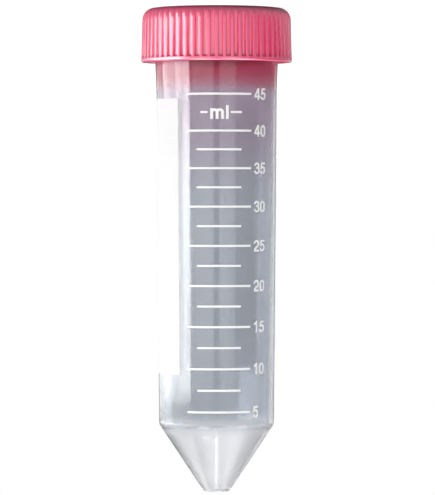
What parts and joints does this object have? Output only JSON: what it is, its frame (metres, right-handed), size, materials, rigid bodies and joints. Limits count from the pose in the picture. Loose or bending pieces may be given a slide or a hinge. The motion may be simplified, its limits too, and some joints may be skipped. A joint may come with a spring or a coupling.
{
  "type": "50 ml conical tube",
  "caption": "Round translucent lab tube with a conical end, printed volume lines, a plain writing panel and a ribbed screw cap; holds and spins small liquid samples.",
  "frame": {"origin": "centre of the flat top face of the cap, on which the closed tube stands", "axes": "+Z along the tube, from the cap's top to the foot of the cone; the volume scale faces -Y and the writing panel faces +X"},
  "size_m": [0.0366, 0.0366, 0.117],
  "materials": {
    "clear_polypropylene": "satin",
    "pink_polyethylene": "satin",
    "white_print": "matte"
  },
  "bodies": {
    "cap": {"screw_cap": "pink_polyethylene"},
    "tube": {"tube": "clear_polypropylene", "graduation_marks": "white_print", "writing_panel": "white_print"}
  },
  "joints": [
    {"name": "cap_removal", "type": "slide", "parent": "cap", "child": "tube", "axis": [0, 0, 1], "range_m": [0, 0.06]}
  ]
}
